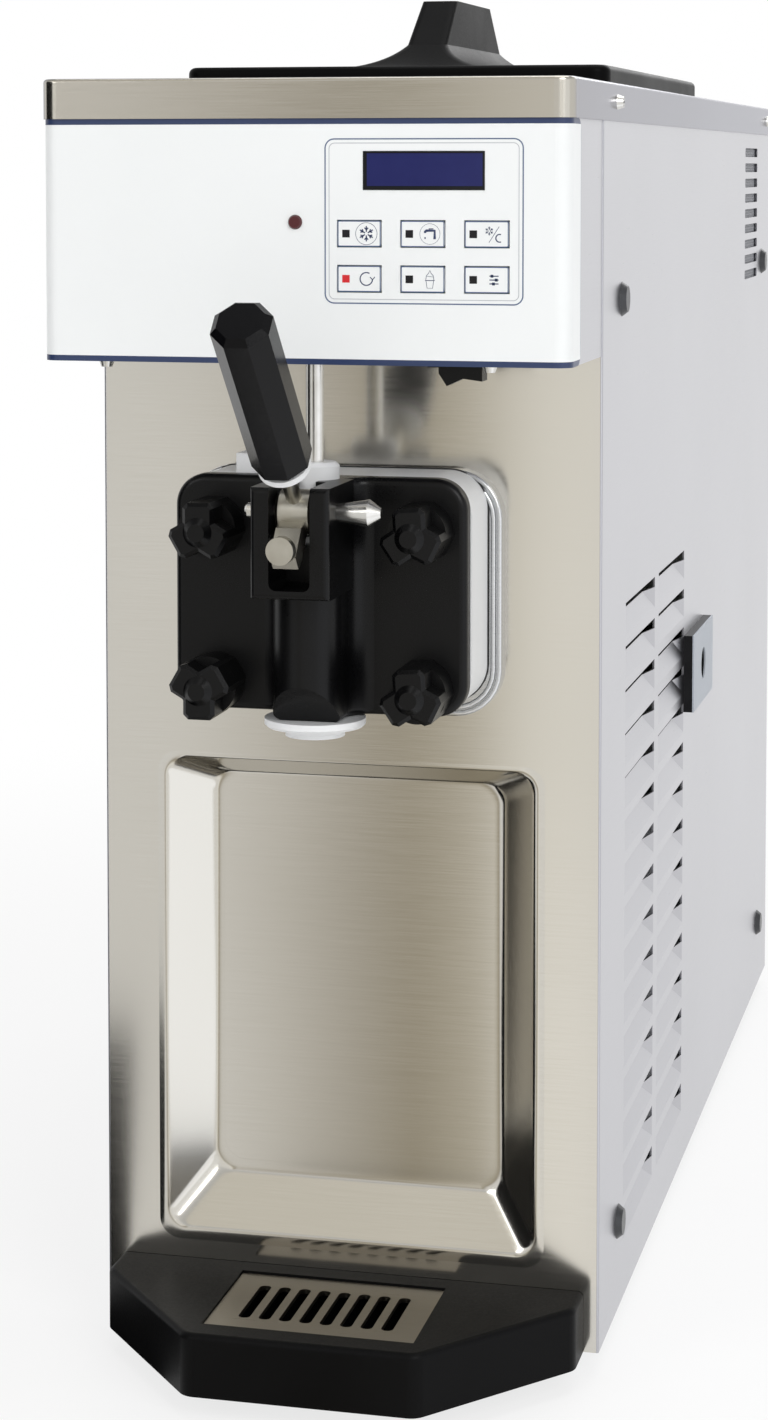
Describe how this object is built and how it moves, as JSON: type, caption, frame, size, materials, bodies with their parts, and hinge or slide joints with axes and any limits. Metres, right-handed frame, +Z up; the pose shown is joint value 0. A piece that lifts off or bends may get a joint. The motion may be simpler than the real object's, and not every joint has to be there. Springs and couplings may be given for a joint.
{
  "type": "ice cream maker",
  "caption": "Slim countertop soft-serve ice cream maker with dispensing door, draw handle, drip tray and lidded hopper.",
  "frame": {"origin": "bottom centre of the bounding box at rest, on the floor under the feet", "axes": "+X to the right seen from the front, +Y from the dispensing door to the rear, +Z up"},
  "size_m": [0.2234, 0.7938, 0.583],
  "materials": {
    "stainless_steel": "brushed stainless sheet",
    "polished_steel": "bright stainless sheet",
    "galvanised_steel": "galvanised sheet",
    "rod_steel": "turned stainless",
    "rubber": "moulded rubber",
    "black_plastic": "moulded black plastic",
    "white_plastic": "white moulded plastic",
    "grey_plastic": "grey moulded plastic",
    "white_film": "printed polyester film",
    "display_glass": "dark display window",
    "red_lens": "dark red lens",
    "circuit_board": "laminate",
    "foam": "closed-cell foam",
    "cast_housing": "cast housing",
    "black_enamel": "black enamel",
    "aluminium": "finned pack"
  },
  "bodies": {
    "cabinet": {"base_pan": "galvanised_steel", "rubber_feet": "rubber", "front_panel": "polished_steel", "tray_pegs": "stainless_steel", "left_side_panel": "stainless_steel", "right_side_panel": "stainless_steel", "rear_panel": "stainless_steel", "power_inlet": "black_plastic", "top_cover": "stainless_steel", "header_shell": "stainless_steel", "control_overlay": "white_film", "display_window": "display_glass", "indicator_lens": "red_lens", "control_board": "circuit_board", "hopper": "stainless_steel", "air_tube": "white_plastic", "freezing_cylinder": "stainless_steel", "insulation_jacket": "foam", "shaft_seal": "rubber", "support_frame": "galvanised_steel", "gear_reducer": "cast_housing", "drive_motor": "black_enamel", "compressor": "black_enamel", "condenser": "aluminium", "fan_motor": "black_enamel", "door_flange": "stainless_steel", "door_body": "white_plastic", "door_cover": "black_plastic", "door_studs": "stainless_steel", "pivot_pin": "rod_steel", "switch_housing": "black_plastic", "draw_switch": "black_plastic", "side_plugs": "grey_plastic", "cabinet_screws": "rod_steel"},
    "hopper_lid": {"hopper_lid": "black_plastic"},
    "drip_tray": {"drip_tray": "black_plastic"},
    "drip_grille": {"drip_grille": "stainless_steel"},
    "draw_handle": {"draw_lever": "rod_steel", "lever_grip": "black_plastic", "grip_ferrule": "white_plastic", "adjusting_screw": "rod_steel"},
    "draw_valve": {"draw_valve": "white_plastic", "switch_rod": "rod_steel"},
    "nozzle_cap": {"nozzle_cap": "white_plastic"},
    "power_rocker": {"power_rocker": "black_plastic"},
    "leak_drawer": {"leak_drawer": "grey_plastic"},
    "beater": {"beater": "stainless_steel", "drive_shaft": "stainless_steel"},
    "condenser_fan": {"condenser_fan": "black_plastic"},
    "knob_1": {"knob_1": "black_plastic"},
    "knob_2": {"knob_2": "black_plastic"},
    "knob_3": {"knob_3": "black_plastic"},
    "knob_4": {"knob_4": "black_plastic"},
    "key_1": {"key_1": "white_film"},
    "key_2": {"key_2": "white_film"},
    "key_3": {"key_3": "white_film"},
    "key_4": {"key_4": "white_film"},
    "key_5": {"key_5": "white_film"},
    "key_6": {"key_6": "white_film"}
  },
  "joints": [
    {"name": "lid_lift", "type": "slide", "parent": "cabinet", "child": "hopper_lid", "axis": [0, 0, 1], "range_m": [0, 0.08]},
    {"name": "tray_pull", "type": "slide", "parent": "cabinet", "child": "drip_tray", "axis": [0, -1, 0], "range_m": [0, 0.06]},
    {"name": "grille_lift", "type": "slide", "parent": "drip_tray", "child": "drip_grille", "axis": [0, 0, 1], "range_m": [0, 0.04]},
    {"name": "handle_pull", "type": "hinge", "parent": "cabinet", "child": "draw_handle", "pos_m": [-0.001, -0.30875, 0.3695], "axis": [1, 0, 0], "range_deg": [0, 30]},
    {"name": "valve_lift", "type": "slide", "parent": "cabinet", "child": "draw_valve", "axis": [0, 0, 1], "range_m": [0, 0.0136]},
    {"name": "nozzle_off", "type": "slide", "parent": "cabinet", "child": "nozzle_cap", "axis": [0, 0, -1], "range_m": [0, 0.015]},
    {"name": "rocker_tilt", "type": "hinge", "parent": "cabinet", "child": "power_rocker", "pos_m": [0.06, -0.28375, 0.428], "axis": [0, 1, 0], "range_deg": [0, 14]},
    {"name": "drawer_pull", "type": "slide", "parent": "cabinet", "child": "leak_drawer", "axis": [1, 0, 0], "range_m": [0, 0.12]},
    {"name": "beater_spin", "type": "hinge", "parent": "cabinet", "child": "beater", "pos_m": [-0.001, -0.23175, 0.3317], "axis": [0, 1, 0], "continuous": true},
    {"name": "fan_spin", "type": "hinge", "parent": "cabinet", "child": "condenser_fan", "pos_m": [0.0455, -0.07475, 0.106], "axis": [1, 0, 0], "continuous": true},
    {"name": "knob_1_turn", "type": "hinge", "parent": "cabinet", "child": "knob_1", "pos_m": [-0.0445, -0.29175, 0.359], "axis": [0, 1, 0], "continuous": true},
    {"name": "knob_2_turn", "type": "hinge", "parent": "cabinet", "child": "knob_2", "pos_m": [-0.0445, -0.29175, 0.295], "axis": [0, 1, 0], "continuous": true},
    {"name": "knob_3_turn", "type": "hinge", "parent": "cabinet", "child": "knob_3", "pos_m": [0.0425, -0.29175, 0.359], "axis": [0, 1, 0], "continuous": true},
    {"name": "knob_4_turn", "type": "hinge", "parent": "cabinet", "child": "knob_4", "pos_m": [0.0425, -0.29175, 0.295], "axis": [0, 1, 0], "continuous": true},
    {"name": "key_1_press", "type": "slide", "parent": "cabinet", "child": "key_1", "axis": [0, 1, 0], "range_m": [0, 0.0008], "stiffness_N_per_m": 1500},
    {"name": "key_2_press", "type": "slide", "parent": "cabinet", "child": "key_2", "axis": [0, 1, 0], "range_m": [0, 0.0008], "stiffness_N_per_m": 1500},
    {"name": "key_3_press", "type": "slide", "parent": "cabinet", "child": "key_3", "axis": [0, 1, 0], "range_m": [0, 0.0008], "stiffness_N_per_m": 1500},
    {"name": "key_4_press", "type": "slide", "parent": "cabinet", "child": "key_4", "axis": [0, 1, 0], "range_m": [0, 0.0008], "stiffness_N_per_m": 1500},
    {"name": "key_5_press", "type": "slide", "parent": "cabinet", "child": "key_5", "axis": [0, 1, 0], "range_m": [0, 0.0008], "stiffness_N_per_m": 1500},
    {"name": "key_6_press", "type": "slide", "parent": "cabinet", "child": "key_6", "axis": [0, 1, 0], "range_m": [0, 0.0008], "stiffness_N_per_m": 1500}
  ],
  "couplings": [
    {"joint": "valve_lift", "follows": "handle_pull", "m_per_rad": 0.0257}
  ]
}
